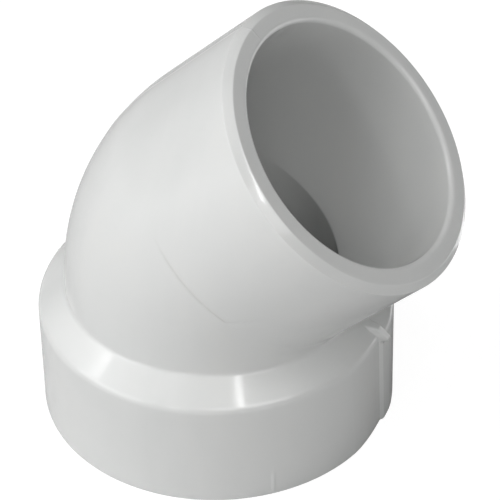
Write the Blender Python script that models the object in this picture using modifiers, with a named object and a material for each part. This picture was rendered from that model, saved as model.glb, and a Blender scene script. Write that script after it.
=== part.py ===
"""45 degree street elbow in rigid PVC, for 1-1/2 inch pipe.

The fitting is a single moulding. Its lower end is a socket hub that takes the pipe, and its
upper end is a plain spigot of the pipe's own outer size, which slides into the next hub.
It stands on the hub's end face: the hub's axis is vertical and the spigot leans towards +X,
in the plane Y = 0, which is the fitting's plane of symmetry.
"""
import math

import bmesh
import bpy
from mathutils import Matrix, Vector

MM = 0.001

# Driving dimensions, in millimetres and degrees
BEND_ANGLE = 45.0
PIPE_RADIUS = 24.13              # outside of the pipe, of the spigot and of the bend
BORE_RADIUS = 19.9               # where the two bores meet, on the mitre plane
BORE_DRAFT_ANGLE = 0.3           # each bore widens towards its own end

HUB_RADIUS = 28.5                # outside of the socket hub
HUB_STRAIGHT_HEIGHT = 18.6       # end face to the start of the hub's cone
HUB_CONE_TOP = 22.4              # end face to where the cone meets the bend
HUB_EDGE_ROUND = 0.5             # rounding of the hub's outer end edge

SOCKET_DEPTH = 17.5              # end face to the pipe stop
SOCKET_ENTRY_RADIUS = 24.3
SOCKET_STOP_RADIUS = 24.05
SOCKET_LEAD_IN = 0.8             # chamfer at the socket's mouth

AXES_MEET_HEIGHT = 32.2          # end face to the point where the two axes cross
SPIGOT_REACH = 33.0              # from that point to the spigot's end face
BEND_RADIUS = 25.5               # centreline of the bend
OUTER_CHAMFER_RADIAL = 1.2       # at the spigot's end
OUTER_CHAMFER_AXIAL = 1.1
INNER_CHAMFER = 0.9

# Fineness of the solid
SIDES = 64
BEND_STEPS = 12
ROUND_STEPS = 3

OVERSHOOT = 2.0                  # how far a cutter runs past the face that it opens
OVERLAP = 3.0                    # how far joined solids run into each other
WELD_DISTANCE = 0.000001         # metres
SHARP_ANGLE = 25.0

PVC_COLOUR = (0.79, 0.80, 0.80, 1.0)
PVC_ROUGHNESS = 0.32

BEND = math.radians(BEND_ANGLE)
SPIGOT_DIRECTION = Vector((math.sin(BEND), 0.0, math.cos(BEND)))
MITRE_NORMAL = Vector((math.sin(BEND / 2), 0.0, math.cos(BEND / 2)))


def hub_axis_x():
    """Where the hub's axis stands, so that the origin is in the middle of the length."""
    face_corner = (
        SPIGOT_REACH * math.sin(BEND)
        + (PIPE_RADIUS - OUTER_CHAMFER_RADIAL) * math.cos(BEND)
    )
    side_corner = (
        (SPIGOT_REACH - OUTER_CHAMFER_AXIAL) * math.sin(BEND)
        + PIPE_RADIUS * math.cos(BEND)
    )
    return (HUB_RADIUS - max(face_corner, side_corner)) / 2


HUB_AXIS = Vector((hub_axis_x(), 0.0, 0.0))
AXES_MEET = HUB_AXIS + Vector((0.0, 0.0, AXES_MEET_HEIGHT))


def clear_scene():
    for item in list(bpy.data.objects):
        bpy.data.objects.remove(item, do_unlink=True)


def new_collection(name):
    collection = bpy.data.collections.new(name)
    bpy.context.scene.collection.children.link(collection)
    return collection


def pvc_material():
    material = bpy.data.materials.new("white_pvc")
    material.use_nodes = True
    shader = material.node_tree.nodes["Principled BSDF"]
    shader.inputs["Base Color"].default_value = PVC_COLOUR
    shader.inputs["Roughness"].default_value = PVC_ROUGHNESS
    shader.inputs["Metallic"].default_value = 0.0
    return material


def evaluated_mesh(item):
    """A plain mesh of an object as its modifiers leave it, in the object's own space."""
    bpy.context.view_layer.update()
    graph = bpy.context.evaluated_depsgraph_get()
    return bpy.data.meshes.new_from_object(item.evaluated_get(graph))


def turned_mesh(name, profile, collection):
    """Solid of revolution about Z. The profile runs from top to bottom down its outer side."""
    outline = bpy.data.meshes.new(name)
    corners = [(radius * MM, 0.0, height * MM) for radius, height in profile]
    outline.from_pydata(corners, [(i, i + 1) for i in range(len(corners) - 1)], [])
    item = bpy.data.objects.new(name, outline)
    collection.objects.link(item)
    screw = item.modifiers.new("turn", "SCREW")
    screw.steps = SIDES
    screw.render_steps = SIDES
    screw.use_merge_vertices = True
    screw.merge_threshold = WELD_DISTANCE
    mesh = evaluated_mesh(item)
    bpy.data.objects.remove(item, do_unlink=True)
    return mesh


def guide(name, mesh, collection):
    """An object that another one is joined with or cut by."""
    item = bpy.data.objects.new(name, mesh)
    collection.objects.link(item)
    item.display_type = "WIRE"
    item.hide_render = True
    return item


def quarter_round(radius, height, size):
    """Profile points that round the lower outer corner at this radius and height."""
    points = []
    for step in range(ROUND_STEPS + 1):
        angle = math.pi / 2 * step / ROUND_STEPS
        inset = size * (1 - math.cos(angle))
        drop = size * (1 - math.sin(angle))
        points.append((radius - inset, height + drop))
    return points


def hub_outside(collection):
    """Outside of the hub: a cone up into the bend, a straight side and a rounded end edge."""
    cone_slope = (HUB_CONE_TOP - HUB_STRAIGHT_HEIGHT) / (HUB_RADIUS - PIPE_RADIUS)
    inside_radius = PIPE_RADIUS - OVERLAP
    inside_height = HUB_CONE_TOP + OVERLAP * cone_slope
    profile = [
        (0.0, inside_height),
        (inside_radius, inside_height),
        (HUB_RADIUS, HUB_STRAIGHT_HEIGHT),
        *quarter_round(HUB_RADIUS, 0.0, HUB_EDGE_ROUND),
        (0.0, 0.0),
    ]
    hub = guide("hub_outside", turned_mesh("hub_outside", profile, collection), collection)
    hub.location = HUB_AXIS * MM
    return hub


def centreline_stations():
    """Points along the middle of the bend and spigot, each with the outside radius there."""
    tangent_length = BEND_RADIUS * math.tan(BEND / 2)
    bend_start = AXES_MEET - Vector((0.0, 0.0, tangent_length))
    bend_centre = bend_start + Vector((BEND_RADIUS, 0.0, 0.0))
    inside_hub = HUB_AXIS + Vector((0.0, 0.0, HUB_STRAIGHT_HEIGHT - OVERLAP))
    stations = [(inside_hub, PIPE_RADIUS)]
    for step in range(BEND_STEPS + 1):
        angle = BEND * step / BEND_STEPS
        spoke = Vector((-math.cos(angle), 0.0, math.sin(angle)))
        stations.append((bend_centre + BEND_RADIUS * spoke, PIPE_RADIUS))
    chamfer_start = AXES_MEET + (SPIGOT_REACH - OUTER_CHAMFER_AXIAL) * SPIGOT_DIRECTION
    end_face = AXES_MEET + SPIGOT_REACH * SPIGOT_DIRECTION
    stations.append((chamfer_start, PIPE_RADIUS))
    stations.append((end_face, PIPE_RADIUS - OUTER_CHAMFER_RADIAL))
    return stations


def bend_and_spigot_mesh(collection):
    """Outside of the bend and spigot: a bevelled curve along the centreline, as one mesh."""
    stations = centreline_stations()
    curve = bpy.data.curves.new("bend_centreline", "CURVE")
    curve.dimensions = "3D"
    curve.bevel_depth = PIPE_RADIUS * MM
    curve.bevel_resolution = (SIDES - 4) // 2
    curve.use_fill_caps = True
    spline = curve.splines.new("POLY")
    spline.points.add(len(stations) - 1)
    for point, (place, radius) in zip(spline.points, stations):
        point.co = (*(place * MM), 1.0)
        point.radius = radius / PIPE_RADIUS
    item = bpy.data.objects.new("bend_centreline", curve)
    collection.objects.link(item)
    mesh = evaluated_mesh(item)
    bpy.data.objects.remove(item, do_unlink=True)
    welded = bmesh.new()
    welded.from_mesh(mesh)
    bmesh.ops.remove_doubles(welded, verts=welded.verts, dist=WELD_DISTANCE)
    welded.to_mesh(mesh)
    welded.free()
    return mesh


def bore_radius_at(distance):
    """Radius of either bore at a distance from the point where the axes cross."""
    return BORE_RADIUS + distance * math.tan(math.radians(BORE_DRAFT_ANGLE))


def hub_leg_profile():
    """Lower bore, pipe stop and socket: radius and height above the crossing of the axes."""
    stop_height = SOCKET_DEPTH - AXES_MEET_HEIGHT
    face_height = -AXES_MEET_HEIGHT
    mouth_radius = SOCKET_ENTRY_RADIUS + SOCKET_LEAD_IN
    return [
        (0.0, BORE_RADIUS),
        (bore_radius_at(-BORE_RADIUS), BORE_RADIUS),
        (bore_radius_at(-stop_height), stop_height),
        (SOCKET_STOP_RADIUS, stop_height),
        (SOCKET_ENTRY_RADIUS, face_height + SOCKET_LEAD_IN),
        (mouth_radius, face_height),
        (mouth_radius, face_height - OVERSHOOT),
        (0.0, face_height - OVERSHOOT),
    ]


def spigot_leg_profile():
    """Upper bore and its mouth chamfer: radius and distance from the crossing of the axes."""
    chamfer_start = SPIGOT_REACH - INNER_CHAMFER
    bore_end_radius = bore_radius_at(chamfer_start)
    mouth_radius = bore_end_radius + INNER_CHAMFER
    return [
        (0.0, SPIGOT_REACH + OVERSHOOT),
        (mouth_radius, SPIGOT_REACH + OVERSHOOT),
        (mouth_radius, SPIGOT_REACH),
        (bore_end_radius, chamfer_start),
        (bore_radius_at(-BORE_RADIUS), -BORE_RADIUS),
        (0.0, -BORE_RADIUS),
    ]


def bore_cutter(collection):
    """The whole passage: each leg's turned core, cut off at the mitre plane and welded there."""
    legs = bmesh.new()
    legs.from_mesh(turned_mesh("hub_leg", hub_leg_profile(), collection))
    bmesh.ops.bisect_plane(
        legs,
        geom=legs.verts[:] + legs.edges[:] + legs.faces[:],
        plane_co=(0.0, 0.0, 0.0),
        plane_no=MITRE_NORMAL,
        clear_outer=True,
    )
    spigot_leg = bmesh.new()
    spigot_leg.from_mesh(turned_mesh("spigot_leg", spigot_leg_profile(), collection))
    spigot_leg.transform(Matrix.Rotation(BEND, 4, "Y"))
    bmesh.ops.bisect_plane(
        spigot_leg,
        geom=spigot_leg.verts[:] + spigot_leg.edges[:] + spigot_leg.faces[:],
        plane_co=(0.0, 0.0, 0.0),
        plane_no=MITRE_NORMAL,
        clear_inner=True,
    )
    half = bpy.data.meshes.new("spigot_leg_cut")
    spigot_leg.to_mesh(half)
    spigot_leg.free()
    legs.from_mesh(half)
    bmesh.ops.remove_doubles(legs, verts=legs.verts, dist=WELD_DISTANCE)
    mesh = bpy.data.meshes.new("bore")
    legs.to_mesh(mesh)
    legs.free()
    cutter = guide("bore", mesh, collection)
    cutter.location = AXES_MEET * MM
    return cutter


def add_boolean(item, other, operation):
    modifier = item.modifiers.new(other.name, "BOOLEAN")
    modifier.operation = operation
    modifier.solver = "EXACT"
    modifier.object = other


def elbow_body(parts, cutters):
    """The moulding: bend and spigot, joined with the hub, with the passage cut through."""
    body = bpy.data.objects.new("elbow_body", bend_and_spigot_mesh(cutters))
    parts.objects.link(body)
    add_boolean(body, hub_outside(cutters), "UNION")
    add_boolean(body, bore_cutter(cutters), "DIFFERENCE")
    finished = evaluated_mesh(body)
    finished.name = "elbow_body"
    body.modifiers.clear()
    body.data = finished
    finished.shade_smooth()
    finished.set_sharp_from_angle(angle=math.radians(SHARP_ANGLE))
    finished.materials.clear()
    finished.materials.append(pvc_material())
    return body


def main():
    clear_scene()
    parts = new_collection("street_elbow")
    cutters = new_collection("cutters")
    elbow_body(parts, cutters)


main()
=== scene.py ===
"""Looks of the 45 degree PVC street elbow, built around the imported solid.

The fitting is one moulding, so one fine mesh stands for it: a closed loft of rings that runs up
the outside, over the spigot's rim, down the bore and back through the socket. Lengths are in
millimetres until the mesh is made.
"""
import math

import bpy
import numpy as np
from mathutils import Matrix, Vector


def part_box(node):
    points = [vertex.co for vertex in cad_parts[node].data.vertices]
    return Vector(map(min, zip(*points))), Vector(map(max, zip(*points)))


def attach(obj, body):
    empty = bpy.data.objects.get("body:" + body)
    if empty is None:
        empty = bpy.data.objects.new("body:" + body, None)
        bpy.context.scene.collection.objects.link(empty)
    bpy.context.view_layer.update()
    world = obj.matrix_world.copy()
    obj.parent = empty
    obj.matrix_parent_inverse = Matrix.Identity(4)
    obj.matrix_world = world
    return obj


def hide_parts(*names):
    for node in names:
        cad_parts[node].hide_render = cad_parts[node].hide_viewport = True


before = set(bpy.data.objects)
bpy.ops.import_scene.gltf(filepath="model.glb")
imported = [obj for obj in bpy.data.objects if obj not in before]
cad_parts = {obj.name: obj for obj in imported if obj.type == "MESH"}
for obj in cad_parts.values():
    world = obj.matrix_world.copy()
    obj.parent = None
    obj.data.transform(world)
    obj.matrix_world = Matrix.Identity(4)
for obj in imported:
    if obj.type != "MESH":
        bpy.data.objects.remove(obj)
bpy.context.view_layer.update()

MM = 0.001
node_low, node_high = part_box("elbow_body")

# The moulding, as its solid has it
BEND = math.radians(45.0)
PIPE_RADIUS = 24.13
BORE_RADIUS = 19.9
BORE_DRAFT = math.tan(math.radians(0.3))
HUB_RADIUS = (node_high[1] - node_low[1]) / 2 / MM
HUB_STRAIGHT_HEIGHT = 18.6
HUB_CONE_TOP = 22.4
SOCKET_DEPTH = 17.5
SOCKET_ENTRY_RADIUS = 24.3
SOCKET_STOP_RADIUS = 24.05
SOCKET_LEAD_IN = 0.8
AXES_MEET_HEIGHT = 32.2
SPIGOT_REACH = 33.0
BEND_RADIUS = 25.5
OUTER_CHAMFER_RADIAL = 1.2
OUTER_CHAMFER_AXIAL = 1.1
HUB_AXIS_X = node_low[0] / MM + HUB_RADIUS

# How far each edge's rounding reaches, which only the looks carry
HUB_FOOT_ROUND = 0.3
CONE_FOOT_ROUND = 0.75
CREASE_FILLET = 0.45             # between the cone and the bend
CHAMFER_START_ROUND = 0.06
CHAMFER_END_ROUND = 0.15
MOUTH_ROUND = 0.87               # the spigot's inner edge
MITRE_ROUND = 0.34
STOP_EDGE_ROUND = 0.3
STOP_ROOT_ROUND = 0.4
LEAD_IN_ROUND = 0.25
SOCKET_EDGE_ROUND = 0.2

MOUTH_OFFSET = 0.2               # how far the bore runs off centre by the time it reaches the rim
MOUTH_OFFSET_ANGLE = 85.0
MITRE_LIP = 0.26                 # fine ridge where the moulds for the two bores met

FLASH_HEIGHT = 0.05              # raised line where the two halves of the mould met
FLASH_WIDTH = 0.16
FLASH_FADE = 2.0                 # the length over which it dies out before the outer chamfer

FOOT_NICK_ANGLE = -47.8          # a short upright ridge at the foot of the hub
FOOT_NICK_HEIGHT = 4.7
FOOT_NICK_FADE = 0.8
FOOT_NICK_WIDTH = 0.3
FOOT_NICK_RISE = 0.14

# The step where the spigot's mould insert ends: first part of a ring, from where it fades in to
# where it fades out, and then a run along the spigot, which turns a little as it goes
INSERT_STEP = 0.08
INSERT_STEP_WIDTH = 0.14
INSERT_STEP_RUNOUT = 1.6
INSERT_STEP_ANGLES = (-114.0, -100.0, -74.0, -72.0)
INSERT_RUN_ANGLE = -72.5
INSERT_RUN_START = 0.3
INSERT_RUN_TURN = 1.6            # degrees for each millimetre
INSERT_RUN_WIDTH = 0.5           # degrees
INSERT_RUN_RUNOUT = 4.0          # degrees
INSERT_RUN_REACH = (0.0, 0.4, 3.3, 4.8)

# Painted shade along the ring of the insert step: its place along the spigot from the step, and
# across from the axis
PAINTED_SHADE_ALONG = (-0.25, -0.05, 0.2, 0.45)
PAINTED_SHADE_ACROSS = (-10.0, -5.0, 6.6, 7.6)
PAINTED_SHADE_OUTSIDE = (-21.5, -20.5)   # sideways, so that it stays out of the bore

# The gate was trimmed off along the hub's side, under the spigot, where the mould parted.
# Offsets are from the hub's own radius, at angles counted from the step at the parting line.
TRIM_ANGLES = (-18.0, -15.0, -12.0, -9.0, -6.0, -3.0, 0.0, 1.2, 3.0, 6.0, 9.0, 12.0, 18.0)
TRIM_OFFSETS = (0.0, -0.08, -0.18, -0.28, -0.36, -0.42, -0.43, 0.02, 0.09, 0.19, 0.20, 0.12, 0.0)
STEP_ANGLES = (2.6, 0.5)         # at the hub's end face and at the stub's underside
TRIM_TOP = 20.4

# A clipped stub of the gate stands on the cone: its cut side, from where it leaves the cone
# to its outer edge, at its underside and at its top
STUB_HEIGHTS = (17.5, 20.2)
STUB_TOP = 20.7
STUB_FOOT_ANGLES = (0.9, -1.5)
STUB_EDGE_ANGLES = (2.25, 0.3)
STUB_EDGE_RADII = (29.4, 27.8)
STUB_WIDTH = 2.6
STUB_BACK = 0.4

# How many rings each stretch has, and where they crowd together
HUB_SIDE_RINGS = 20
CONE_RINGS = 14
BEND_RINGS = 34
SPIGOT_RINGS = 22
RIM_FACE_RINGS = 5
MOUTH_STEPS = 12
UPPER_BORE_RINGS = 22
LOWER_BORE_RINGS = 12
STOP_RINGS = 3
SOCKET_RINGS = 14
RIM_FLASH_RINGS = 12             # the rim's outer edge, its face and the start of the mouth
STUB_RING_GAP = 0.03             # between the last ring under the stub and the stub's first
CHAMFER_RING_GAP = 0.6
INSERT_RINGS = (0.07, 0.14, 0.28, 0.5, 0.8, 1.2, INSERT_STEP_RUNOUT)

OUTSIDE_RADIUS = HUB_RADIUS - FLASH_HEIGHT
END_FACE_RADIUS = OUTSIDE_RADIUS - 2.0
BEND_START = AXES_MEET_HEIGHT - BEND_RADIUS * math.tan(BEND / 2)
SPIGOT_START = BEND_RADIUS * math.tan(BEND / 2)
CHAMFER_START = SPIGOT_REACH - OUTER_CHAMFER_AXIAL
CONE_SLOPE = (HUB_CONE_TOP - HUB_STRAIGHT_HEIGHT) / (HUB_RADIUS - PIPE_RADIUS)


def ring_angles():
    """Directions around the passage, packed closer beside the fine marks."""
    spans = [
        (-180.0, -178.5, 0.15),
        (-178.5, -174.0, 0.5),
        (-174.0, -76.0, 1.4),
        (-76.0, -64.0, 0.3),
        (-64.0, -49.6, 1.4),
        (-49.6, -46.0, 0.2),
        (-46.0, -20.0, 1.4),
        (-20.0, -3.0, 0.5),
        (-3.0, 6.0, 0.15),
        (6.0, 20.0, 0.5),
        (20.0, 174.0, 1.4),
        (174.0, 178.5, 0.5),
        (178.5, 180.0, 0.15),
    ]
    pieces = []
    for start, end, step in spans:
        count = round((end - start) / step)
        pieces.append(np.linspace(start, end, count, endpoint=False))
    return np.concatenate(pieces)


DEGREES = ring_angles()
COS = np.cos(np.radians(DEGREES))
SIN = np.sin(np.radians(DEGREES))


def points(x, y, z):
    return np.stack(np.broadcast_arrays(x, y, z), axis=-1).astype(float)


def hub_ring(radius, height):
    """A ring about the hub's axis."""
    return points(radius * COS, radius * SIN, height)


def bend_ring(turn):
    """A ring about the bend's centreline, at one turn or at a turn for each direction."""
    across = PIPE_RADIUS * COS
    x = BEND_RADIUS * (1 - np.cos(turn)) + across * np.cos(turn)
    z = BEND_START + BEND_RADIUS * np.sin(turn) - across * np.sin(turn)
    return points(x, PIPE_RADIUS * SIN, z)


def spigot_ring(radius, distance):
    """A ring about the spigot's axis, at a distance from where the axes cross."""
    across = radius * COS
    x = distance * math.sin(BEND) + across * math.cos(BEND)
    z = AXES_MEET_HEIGHT + distance * math.cos(BEND) - across * math.sin(BEND)
    return points(x, radius * SIN, z)


def along(first, last, count):
    """Rings between two rings, without either of them."""
    return [first + (last - first) * k / (count + 1) for k in range(1, count + 1)]


def softened(before, corner, after, steps=4):
    """Rings that round the corner between two others, from the first to the last of them."""
    rings = []
    for k in range(steps + 1):
        t = k / steps
        rings.append((1 - t) ** 2 * before + 2 * t * (1 - t) * corner + t**2 * after)
    return rings


def toward(start, end, distance):
    """Points at a distance from start on the way to end."""
    way = end - start
    return start + way / np.linalg.norm(way, axis=-1, keepdims=True) * distance


def rounded_corner(before, corner, after, size, steps=4):
    """Rings that round a corner, starting and ending at a distance from it."""
    return softened(toward(corner, before, size), corner, toward(corner, after, size), steps)


def junction_turn():
    """For each direction, the turn of the bend at which its surface leaves the hub's cone."""
    low = np.zeros_like(DEGREES)
    high = np.full_like(DEGREES, BEND)
    for _ in range(40):
        middle = (low + high) / 2
        ring = bend_ring(middle)
        cone_radius = PIPE_RADIUS + (HUB_CONE_TOP - ring[:, 2]) / CONE_SLOPE
        outside = np.hypot(ring[:, 0], ring[:, 1]) > cone_radius
        high = np.where(outside, middle, high)
        low = np.where(outside, low, middle)
    return (low + high) / 2


def smooth_bump(distance, width):
    return np.exp(-((distance / width) ** 2))


def up_and_down(value, rise, fall):
    """From 0 up to 1 as the value passes the rise, and down again to 0 at the fall."""
    return np.clip(value / rise, 0.0, 1.0) * np.clip(1.0 - value / fall, 0.0, 1.0)


def with_gate(ring):
    """A ring of the hub's side or cone, with the trimmed gate and its clipped stub."""
    radius = np.hypot(ring[:, 0], ring[:, 1])
    height = ring[:, 2]
    step = np.interp(height, (0.0, STUB_HEIGHTS[0]), STEP_ANGLES)
    trim = np.interp(DEGREES - step, TRIM_ANGLES, TRIM_OFFSETS)
    trim = trim * np.clip((TRIM_TOP - height) / (TRIM_TOP - HUB_STRAIGHT_HEIGHT), 0.0, 1.0)
    foot = np.interp(height, STUB_HEIGHTS, STUB_FOOT_ANGLES)
    edge = np.interp(height, STUB_HEIGHTS, STUB_EDGE_ANGLES)
    edge_radius = np.interp(height, STUB_HEIGHTS, STUB_EDGE_RADII)
    rise = np.clip((DEGREES - foot) / (edge - foot), 0.0, 1.0)
    rise = rise * np.clip((edge + STUB_WIDTH - DEGREES) / STUB_BACK, 0.0, 1.0)
    rise = np.minimum(rise, np.clip((STUB_TOP - height) / (STUB_TOP - STUB_HEIGHTS[1]), 0.0, 1.0))
    rise = np.where(height < STUB_HEIGHTS[0], 0.0, rise)
    change = trim + (edge_radius - radius - trim) * rise
    scale = 1.0 + change / radius
    return ring * np.stack((scale, scale, np.ones_like(scale)), axis=-1)


def insert_step(distance):
    """How far the spigot's surface stands out, or lies in, where its mould insert ends."""
    past = distance - SPIGOT_START
    shown = np.interp(DEGREES, INSERT_STEP_ANGLES, (0.0, 1.0, 1.0, 0.0))
    ring = up_and_down(past, INSERT_STEP_WIDTH, INSERT_STEP_RUNOUT) * shown
    beside = DEGREES - INSERT_RUN_ANGLE - INSERT_RUN_TURN * (past - INSERT_RUN_START)
    reach = np.interp(past, INSERT_RUN_REACH, (0.0, 1.0, 1.0, 0.0))
    run = up_and_down(beside, INSERT_RUN_WIDTH, INSERT_RUN_RUNOUT) * reach
    return INSERT_STEP * (ring - run)


def outside_rings():
    """Hub side, cone, bend and spigot, from the end face up to the rim's outer chamfer."""
    face = hub_ring(END_FACE_RADIUS, 0.0)
    foot = hub_ring(OUTSIDE_RADIUS, 0.0)
    shoulder = hub_ring(OUTSIDE_RADIUS, HUB_STRAIGHT_HEIGHT)
    turn = junction_turn()
    junction = bend_ring(turn)
    hub = rounded_corner(face, foot, shoulder, HUB_FOOT_ROUND)
    under_stub = np.linspace(HUB_FOOT_ROUND, STUB_HEIGHTS[0] - STUB_RING_GAP, HUB_SIDE_RINGS)
    hub += [hub_ring(OUTSIDE_RADIUS, height) for height in (*under_stub[1:], STUB_HEIGHTS[0])]
    hub += rounded_corner(foot, shoulder, junction, CONE_FOOT_ROUND, steps=6)
    generator_radius = BEND_RADIUS - PIPE_RADIUS * COS
    fillet_turn = turn + CREASE_FILLET / generator_radius
    fillet_start = toward(junction, shoulder, CREASE_FILLET)
    fillet = softened(fillet_start, junction, bend_ring(fillet_turn), steps=5)
    hub += along(hub[-1], fillet_start, CONE_RINGS)
    rings = [with_gate(ring) for ring in hub] + fillet
    for k in range(1, BEND_RINGS + 1):
        rings.append(bend_ring(fillet_turn + (BEND - fillet_turn) * k / BEND_RINGS))
    beside_step = SPIGOT_START + np.array(INSERT_RINGS)
    past_step = np.linspace(beside_step[-1], CHAMFER_START - CHAMFER_RING_GAP, SPIGOT_RINGS)[1:]
    for distance in np.concatenate((beside_step, past_step)):
        rings.append(spigot_ring(PIPE_RADIUS + insert_step(distance), distance))
    chamfer_start = spigot_ring(PIPE_RADIUS, CHAMFER_START)
    chamfer_end = spigot_ring(PIPE_RADIUS - OUTER_CHAMFER_RADIAL, SPIGOT_REACH)
    rings += rounded_corner(rings[-1], chamfer_start, chamfer_end, CHAMFER_START_ROUND)
    return rings, chamfer_end


def bore_radius_at(distance):
    return BORE_RADIUS + BORE_DRAFT * distance


def mouth_rings():
    """The spigot's inner edge, rounded from its end face into the bore."""
    bore_end = SPIGOT_REACH - MOUTH_ROUND
    off_centre = MOUTH_OFFSET * np.cos(np.radians(DEGREES - MOUTH_OFFSET_ANGLE))
    middle_radius = bore_radius_at(bore_end) + MOUTH_ROUND + off_centre
    rings = []
    for k in range(MOUTH_STEPS + 1):
        angle = math.pi / 2 * k / MOUTH_STEPS
        radius = middle_radius - MOUTH_ROUND * math.sin(angle)
        rings.append(spigot_ring(radius, bore_end + MOUTH_ROUND * math.cos(angle)))
    return rings


def rim_and_bore_rings(before, chamfer_end):
    """Rim face, mouth and the two bores, down to the pipe stop."""
    mouth = mouth_rings()
    rings = rounded_corner(before, chamfer_end, mouth[0], CHAMFER_END_ROUND)
    rings += along(rings[-1], mouth[0], RIM_FACE_RINGS)
    rings += mouth
    lip = BORE_RADIUS - MITRE_LIP
    mitre = points(lip * COS, lip * SIN, AXES_MEET_HEIGHT - lip * COS * math.tan(BEND / 2))
    stop_inner = hub_ring(bore_radius_at(AXES_MEET_HEIGHT - SOCKET_DEPTH), SOCKET_DEPTH)
    mitre_corner = rounded_corner(mouth[-1], mitre, stop_inner, MITRE_ROUND)
    rings += along(rings[-1], mitre_corner[0], UPPER_BORE_RINGS)
    rings += mitre_corner
    stop_outer = hub_ring(SOCKET_STOP_RADIUS, SOCKET_DEPTH)
    stop_corner = rounded_corner(mitre, stop_inner, stop_outer, STOP_EDGE_ROUND)
    rings += along(rings[-1], stop_corner[0], LOWER_BORE_RINGS)
    rings += stop_corner
    return rings, stop_inner, stop_outer


def socket_rings(stop_inner, stop_outer):
    """Pipe stop face, tapered socket wall and lead-in, down to the hub's end face."""
    entry = hub_ring(SOCKET_ENTRY_RADIUS, SOCKET_LEAD_IN)
    mouth = hub_ring(SOCKET_ENTRY_RADIUS + SOCKET_LEAD_IN, 0.0)
    face = hub_ring(END_FACE_RADIUS, 0.0)
    root = rounded_corner(stop_inner, stop_outer, entry, STOP_ROOT_ROUND)
    rings = along(stop_inner, root[0], STOP_RINGS)[1:]
    rings += root
    lead_in = rounded_corner(stop_outer, entry, mouth, LEAD_IN_ROUND)
    rings += along(rings[-1], lead_in[0], SOCKET_RINGS)
    rings += lead_in
    rings += rounded_corner(entry, mouth, face, SOCKET_EDGE_ROUND)
    rings.append(face)
    return rings


def grid_normals(grid):
    """Outward normals of a closed grid of rings."""
    around = np.roll(grid, -1, axis=1) - np.roll(grid, 1, axis=1)
    upward = np.roll(grid, -1, axis=0) - np.roll(grid, 1, axis=0)
    normals = np.cross(around, upward)
    return normals / np.linalg.norm(normals, axis=-1, keepdims=True)


def with_raised_marks(grid, outside_count):
    """The grid with its parting line, along heel, throat and rim, and the ridge at the foot."""
    from_heel = np.radians(180.0 - np.abs(DEGREES)) * PIPE_RADIUS
    from_throat = np.radians(DEGREES) * PIPE_RADIUS
    from_nick = np.radians(DEGREES - FOOT_NICK_ANGLE) * HUB_RADIUS
    heel = FLASH_HEIGHT * smooth_bump(from_heel, FLASH_WIDTH)
    throat = FLASH_HEIGHT * smooth_bump(from_throat, FLASH_WIDTH)
    nick = FOOT_NICK_RISE * smooth_bump(from_nick, FOOT_NICK_WIDTH)

    level = grid[:outside_count, :, 2]
    along_spigot = grid[:outside_count, :, 0] * math.sin(BEND)
    along_spigot = along_spigot + (level - AXES_MEET_HEIGHT) * math.cos(BEND)
    fade = np.clip((CHAMFER_START - along_spigot) / FLASH_FADE, 0.0, 1.0)
    fade = fade * np.clip(level / HUB_FOOT_ROUND - 1.0, 0.0, 1.0)
    nick_fade = np.clip((FOOT_NICK_HEIGHT - level) / FOOT_NICK_FADE, 0.0, 1.0)

    height = np.zeros(grid.shape[:2])
    height[:outside_count] = fade * (heel + throat * (level > HUB_CONE_TOP) + nick * nick_fade)
    height[outside_count:outside_count + RIM_FLASH_RINGS] = heel
    return grid + grid_normals(grid) * height[..., None]


def elbow_mesh():
    outside, chamfer_end = outside_rings()
    bore, stop_inner, stop_outer = rim_and_bore_rings(outside[-1], chamfer_end)
    grid = np.array(outside + bore + socket_rings(stop_inner, stop_outer))
    grid = with_raised_marks(grid, len(outside))
    ring_count, side_count = grid.shape[:2]
    vertices = grid.reshape(-1, 3) * MM
    vertices[:, 0] += HUB_AXIS_X * MM
    ring, side = np.meshgrid(np.arange(ring_count), np.arange(side_count), indexing="ij")
    next_ring = (ring + 1) % ring_count
    next_side = (side + 1) % side_count
    corners = [(ring, side), (ring, next_side), (next_ring, next_side), (next_ring, side)]
    faces = np.stack([r * side_count + s for r, s in corners], axis=-1).reshape(-1, 4)
    mesh = bpy.data.meshes.new("moulded_elbow")
    mesh.from_pydata(vertices.tolist(), [], faces.tolist())
    mesh.update()
    mesh.shade_smooth()
    return mesh


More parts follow.
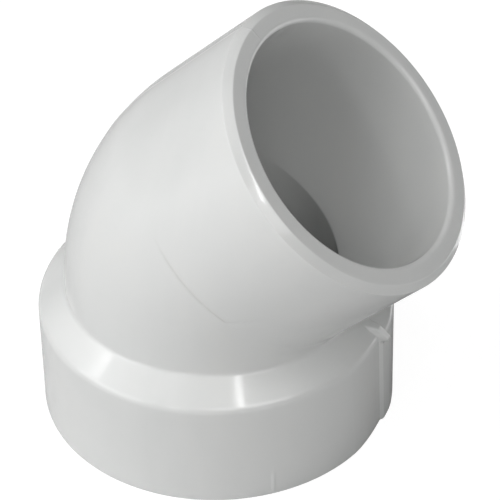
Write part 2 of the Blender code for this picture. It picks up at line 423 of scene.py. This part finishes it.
class Nodes:
    """Short hand for a material's node tree, with textures placed by the object's own metres."""

    def __init__(self, material):
        self.tree = material.node_tree
        self.place = self.tree.nodes.new("ShaderNodeTexCoord").outputs["Object"]

    def link(self, output, socket):
        self.tree.links.new(output, socket)

    def along_direction(self, x, y, z):
        node = self.tree.nodes.new("ShaderNodeVectorMath")
        node.operation = "DOT_PRODUCT"
        self.link(self.place, node.inputs[0])
        node.inputs[1].default_value = (x, y, z)
        return node.outputs["Value"]

    def stretched(self, x, y, z):
        mapping = self.tree.nodes.new("ShaderNodeMapping")
        mapping.inputs["Scale"].default_value = (x, y, z)
        self.link(self.place, mapping.inputs["Vector"])
        return mapping.outputs["Vector"]

    def noise(self, scale, detail, where=None, roughness=0.5, distortion=0.0):
        node = self.tree.nodes.new("ShaderNodeTexNoise")
        node.inputs["Scale"].default_value = scale
        node.inputs["Detail"].default_value = detail
        node.inputs["Roughness"].default_value = roughness
        node.inputs["Distortion"].default_value = distortion
        self.link(where or self.place, node.inputs["Vector"])
        return node.outputs["Fac"]

    def specks(self, scale):
        """Distance from sparse points: small only close to one of them."""
        node = self.tree.nodes.new("ShaderNodeTexVoronoi")
        node.inputs["Scale"].default_value = scale
        node.inputs["Randomness"].default_value = 1.0
        self.link(self.place, node.inputs["Vector"])
        return node.outputs["Distance"]

    def spread(self, value, low, high, to_low, to_high):
        node = self.tree.nodes.new("ShaderNodeMapRange")
        node.inputs["From Min"].default_value = low
        node.inputs["From Max"].default_value = high
        node.inputs["To Min"].default_value = to_low
        node.inputs["To Max"].default_value = to_high
        self.link(value, node.inputs["Value"])
        return node.outputs["Result"]

    def combined(self, operation, first, second):
        node = self.tree.nodes.new("ShaderNodeMath")
        node.operation = operation
        self.link(first, node.inputs[0])
        self.link(second, node.inputs[1])
        return node.outputs["Value"]

    def between(self, value, middle, bounds):
        """1 between the two inner bounds and 0 past the outer two, in millimetres from a middle."""
        rise_start, rise_end, fall_start, fall_end = [(middle + bound) * MM for bound in bounds]
        rising = self.spread(value, rise_start, rise_end, 0.0, 1.0)
        falling = self.spread(value, fall_start, fall_end, 1.0, 0.0)
        return self.combined("MULTIPLY", rising, falling)

    def coloured(self, value, stops):
        node = self.tree.nodes.new("ShaderNodeValToRGB")
        ramp = node.color_ramp
        while len(ramp.elements) < len(stops):
            ramp.elements.new(0.5)
        for element, (position, colour) in zip(ramp.elements, stops):
            element.position = position
            element.color = (*colour, 1.0)
        self.link(value, node.inputs["Fac"])
        return node.outputs["Color"]

    def multiplied(self, first, second):
        node = self.tree.nodes.new("ShaderNodeMix")
        node.data_type = "RGBA"
        node.blend_type = "MULTIPLY"
        node.inputs["Factor"].default_value = 1.0
        self.link(first, node.inputs["A"])
        self.link(second, node.inputs["B"])
        return node.outputs["Result"]

    def bump(self, height, distance, below=None):
        node = self.tree.nodes.new("ShaderNodeBump")
        node.inputs["Strength"].default_value = 1.0
        node.inputs["Distance"].default_value = distance
        self.link(height, node.inputs["Height"])
        if below is not None:
            self.link(below, node.inputs["Normal"])
        return node.outputs["Normal"]


WHITE = (1.0, 1.0, 1.0)


def insert_step_painted_shade(nodes):
    """Where shade is painted along the step of the spigot's mould insert, from 0 to 1."""
    sine = math.sin(BEND)
    step = (HUB_AXIS_X + AXES_MEET_HEIGHT) * sine + SPIGOT_START
    axis = (HUB_AXIS_X - AXES_MEET_HEIGHT) * sine
    lengthwise = nodes.between(nodes.along_direction(sine, 0.0, sine), step, PAINTED_SHADE_ALONG)
    across = nodes.between(nodes.along_direction(sine, 0.0, -sine), axis, PAINTED_SHADE_ACROSS)
    outer, inner = (bound * MM for bound in PAINTED_SHADE_OUTSIDE)
    outside = nodes.spread(nodes.along_direction(0.0, 1.0, 0.0), outer, inner, 1.0, 0.0)
    return nodes.combined("MULTIPLY", nodes.combined("MULTIPLY", lengthwise, across), outside)


def pvc_colour(nodes):
    """White PVC with faint clouding and flow marks, dust specks, grey marks and painted shade along
    the insert step.
    """
    clouding = nodes.noise(45.0, 3.0, distortion=0.6)
    flow = nodes.noise(60.0, 4.0, nodes.stretched(1.0, 1.0, 0.22), distortion=1.2)
    tone = nodes.combined("ADD", clouding, flow)
    plastic = nodes.coloured(
        nodes.spread(tone, 0.72, 1.28, 0.0, 1.0),
        [(0.0, (0.704, 0.714, 0.706)), (0.5, (0.722, 0.730, 0.722)), (1.0, (0.738, 0.743, 0.732))],
    )
    dust = nodes.coloured(
        nodes.specks(85.0),
        [(0.0, (0.62, 0.61, 0.58)), (0.022, (0.80, 0.79, 0.77)), (0.034, WHITE)],
    )
    grey_marks = nodes.coloured(
        nodes.noise(130.0, 6.0, nodes.stretched(1.0, 1.0, 0.5), roughness=0.7),
        [(0.0, (0.955, 0.955, 0.95)), (0.36, WHITE)],
    )
    # Painted shade: a faint darker line along the step where the spigot's mould insert ends
    painted_shade = nodes.coloured(insert_step_painted_shade(nodes), [(0.0, WHITE), (1.0, (0.93, 0.93, 0.92))])
    marks = nodes.multiplied(dust, nodes.multiplied(grey_marks, painted_shade))
    return nodes.multiplied(plastic, marks)


def pvc_roughness(nodes):
    """Semi-gloss, duller in patches and along fine scuffs."""
    dull_patches = nodes.spread(nodes.noise(70.0, 4.0, distortion=0.8), 0.35, 0.70, 0.10, 0.17)
    scuffs = nodes.noise(230.0, 5.0, nodes.stretched(1.0, 0.18, 1.0), roughness=0.75)
    return nodes.combined("ADD", dull_patches, nodes.spread(scuffs, 0.60, 0.74, 0.0, 0.12))


def pvc_relief(nodes):
    """The slow waves of a moulded surface, with a fine grain on them."""
    waves = nodes.bump(nodes.noise(110.0, 2.0), 0.07 * MM)
    return nodes.bump(nodes.noise(1500.0, 3.0, roughness=0.6), 0.0035 * MM, below=waves)


def pvc_material():
    material = bpy.data.materials.new("white_pvc")
    material.use_nodes = True
    shader = material.node_tree.nodes["Principled BSDF"]
    shader.inputs["IOR"].default_value = 1.53
    nodes = Nodes(material)
    nodes.link(pvc_colour(nodes), shader.inputs["Base Color"])
    nodes.link(pvc_roughness(nodes), shader.inputs["Roughness"])
    nodes.link(pvc_relief(nodes), shader.inputs["Normal"])
    return material


def moulded_elbow():
    piece = bpy.data.objects.new("moulded_elbow", elbow_mesh())
    bpy.context.scene.collection.objects.link(piece)
    piece.data.materials.append(pvc_material())
    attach(piece, "root")
    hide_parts("elbow_body")


# Camera: long lens, looking down on the fitting from the side that its mouth leans to
CAMERA_AZIMUTH = math.radians(24.89)
CAMERA_ELEVATION = math.radians(39.09)
CAMERA_ROLL = math.radians(-1.22)
CAMERA_DISTANCE = 485.4
CAMERA_RIGHT = 5.56
CAMERA_UP = 21.20
CAMERA_LENS = 213.05
CAMERA_SENSOR = 36.0


def camera():
    sin_a, cos_a = math.sin(CAMERA_AZIMUTH), math.cos(CAMERA_AZIMUTH)
    sin_e, cos_e = math.sin(CAMERA_ELEVATION), math.cos(CAMERA_ELEVATION)
    back = Vector((sin_a * cos_e, -cos_a * cos_e, sin_e))
    right = Vector((cos_a, sin_a, 0.0))
    up = back.cross(right)
    place = back * CAMERA_DISTANCE + right * CAMERA_RIGHT + up * CAMERA_UP
    place.x += HUB_AXIS_X
    turn = Matrix.Rotation(CAMERA_ROLL, 3, back)
    axes = Matrix((turn @ right, turn @ up, back)).transposed()
    data = bpy.data.cameras.new("camera")
    data.lens = CAMERA_LENS
    data.sensor_width = CAMERA_SENSOR
    data.clip_start = 0.01
    data.clip_end = 10.0
    item = bpy.data.objects.new("camera", data)
    bpy.context.scene.collection.objects.link(item)
    item.matrix_world = Matrix.Translation(place * MM) @ axes.to_4x4()
    bpy.context.scene.camera = item


# From here on, lengths are in metres and powers in watts
FLOOR_HALF_SIZE = 2.0
SEEN_ALBEDO = 0.18
SEEN_GLOW = 0.93
BOUNCE_ALBEDO = 0.65
BOUNCE_HEIGHT = -0.00002
LIGHT_AIM = Vector((0.0, 0.0, 0.035))

# Azimuth and elevation in degrees, width, height, power
STUDIO_LIGHTS = {
    "key_window": (-66.0, 43.0, 0.24, 0.34, 1.25),
    "key_left": (-66.0, 43.0, 0.62, 0.36, 0.5),
    "key_spread": (-52.0, 42.0, 1.00, 0.80, 1.5),
    "high_left": (-45.0, 64.0, 0.50, 0.40, 1.75),
    "low_left": (-43.0, 19.0, 0.80, 0.50, 3.3),
    "far_left": (-85.0, 24.0, 0.60, 0.40, 0.6),
    "front_spot": (-2.0, 27.0, 0.08, 0.08, 0.5),
    "strip_right": (41.0, 56.0, 0.04, 0.50, 1.0),
    "front_right": (45.0, 37.0, 0.75, 0.45, 2.5),
    "back_right": (98.0, 46.0, 0.70, 0.35, 0.35),
    "overhead": (0.0, 85.0, 0.60, 0.60, 0.75),
    "back_top": (215.0, 52.0, 0.60, 0.50, 0.45),
    "back_left": (240.0, 15.0, 0.80, 0.35, 0.2),
}
# Centre x and y, width, length, power
BACK_REFLECTOR = (0.28, 0.30, 0.5, 0.5, 1.0)
BACK_REFLECTOR_HEIGHT = 0.001


def level_sheet(name, height, albedo, glow=0.0):
    """A wide matt sheet that lies level under the fitting."""
    size = FLOOR_HALF_SIZE
    mesh = bpy.data.meshes.new(name)
    mesh.from_pydata(
        [(-size, -size, height), (size, -size, height), (size, size, height), (-size, size, height)],
        [],
        [(0, 1, 2, 3)],
    )
    material = bpy.data.materials.new(name)
    material.use_nodes = True
    shader = material.node_tree.nodes["Principled BSDF"]
    shader.inputs["Base Color"].default_value = (albedo, albedo, albedo, 1.0)
    shader.inputs["Roughness"].default_value = 1.0
    shader.inputs["Specular IOR Level"].default_value = 0.0
    shader.inputs["Emission Color"].default_value = (*WHITE, 1.0)
    shader.inputs["Emission Strength"].default_value = glow
    mesh.materials.append(material)
    item = bpy.data.objects.new(name, mesh)
    bpy.context.scene.collection.objects.link(item)
    return item


def floor():
    """A lit white table: the sheet that is seen, and the darker one that throws light back."""
    seen = level_sheet("floor", 0.0, SEEN_ALBEDO, SEEN_GLOW)
    seen.visible_diffuse = False
    seen.visible_glossy = False
    seen.visible_shadow = False
    bounce = level_sheet("floor_bounce", BOUNCE_HEIGHT, BOUNCE_ALBEDO)
    bounce.visible_camera = False


def soft_light(name, width, height, power):
    """A soft rectangular light, which shines along its own -Z."""
    data = bpy.data.lights.new(name, "AREA")
    data.shape = "RECTANGLE"
    data.size = width
    data.size_y = height
    data.energy = power
    item = bpy.data.objects.new(name, data)
    bpy.context.scene.collection.objects.link(item)
    return item


def hung_light(name, azimuth, elevation, width, height, power):
    """A light one metre from the fitting, turned towards it."""
    a, e = math.radians(azimuth), math.radians(elevation)
    away = Vector((math.sin(a) * math.cos(e), -math.cos(a) * math.cos(e), math.sin(e)))
    item = soft_light(name, width, height, power)
    item.location = LIGHT_AIM + away
    item.rotation_mode = "QUATERNION"
    item.rotation_quaternion = away.to_track_quat("Z", "Y")


def back_reflector():
    """A light that lies on the table behind the fitting and shines upward, out of sight."""
    x, y, width, length, power = BACK_REFLECTOR
    item = soft_light("back_reflector", width, length, power)
    item.location = (x, y, BACK_REFLECTOR_HEIGHT)
    item.rotation_euler = (math.pi, 0.0, 0.0)
    item.visible_camera = False


def studio():
    """All the light comes from the lamps and the floor, and the world stays dark."""
    world = bpy.data.worlds.new("studio")
    bpy.context.scene.world = world
    world.use_nodes = True
    world.node_tree.nodes["Background"].inputs["Strength"].default_value = 0.0
    for name, placing in STUDIO_LIGHTS.items():
        hung_light(name, *placing)
    back_reflector()
    bpy.context.scene.view_settings.view_transform = "Standard"


moulded_elbow()
camera()
floor()
studio()
